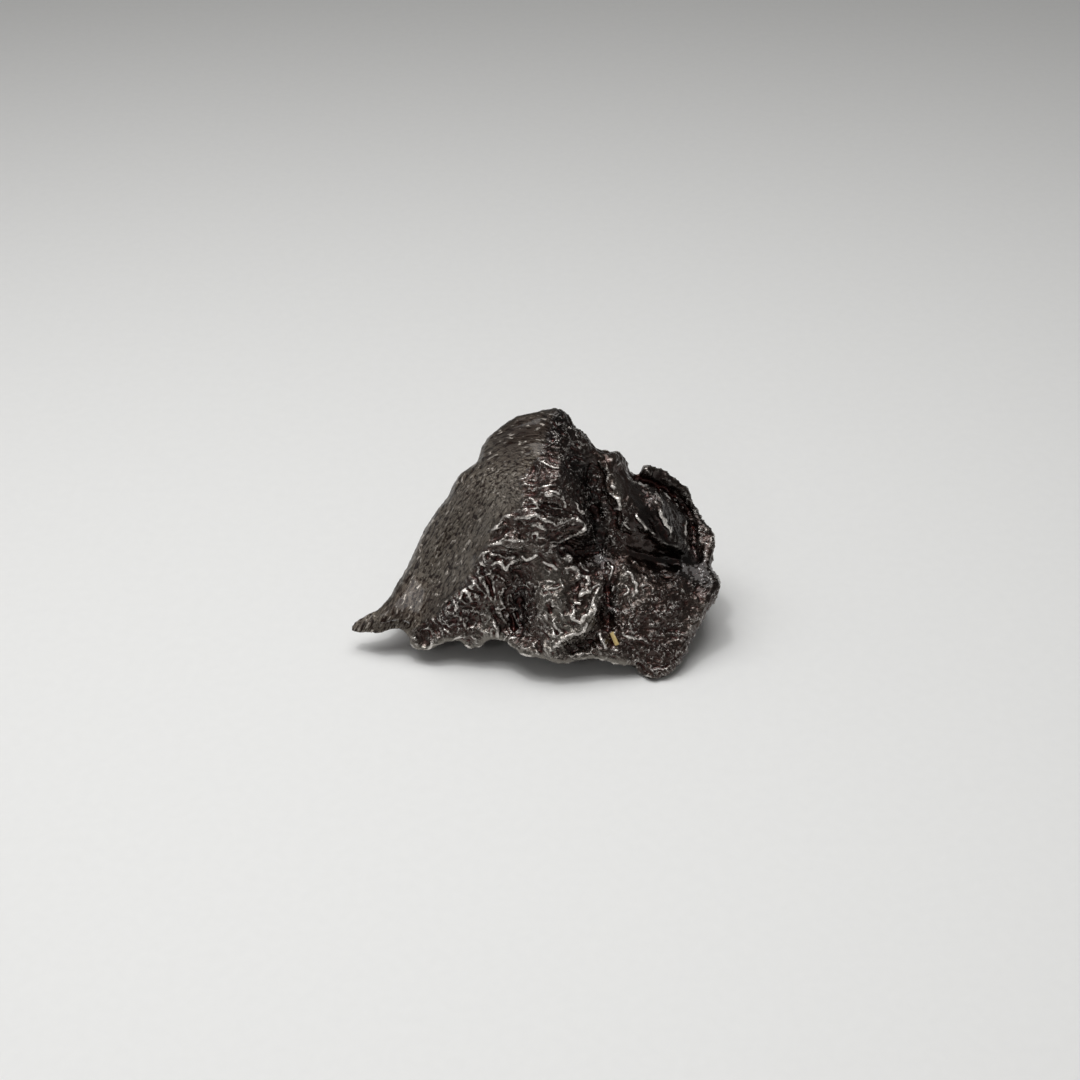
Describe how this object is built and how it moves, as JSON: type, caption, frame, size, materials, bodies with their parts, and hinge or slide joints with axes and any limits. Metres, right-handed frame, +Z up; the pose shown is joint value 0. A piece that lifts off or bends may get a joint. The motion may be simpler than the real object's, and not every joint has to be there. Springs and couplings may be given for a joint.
{
  "type": "iron meteorite fragment",
  "caption": "Torn iron meteorite fragment with a smooth flank, a hackly pitted face and a thin pointed end, resting on small feet",
  "frame": {"origin": "centre of the bounding box, at the level of the feet that it rests on", "axes": "X runs from the thin pointed end to the thick right end, Y runs from the torn front face to the back, Z is up"},
  "size_m": [0.0372, 0.0204, 0.0219],
  "materials": {
    "iron": "dark brown, glossy bare metal with red-brown recesses and worn bright crests"
  },
  "bodies": {
    "root": {"meteorite_fragment": "iron"}
  },
  "joints": []
}
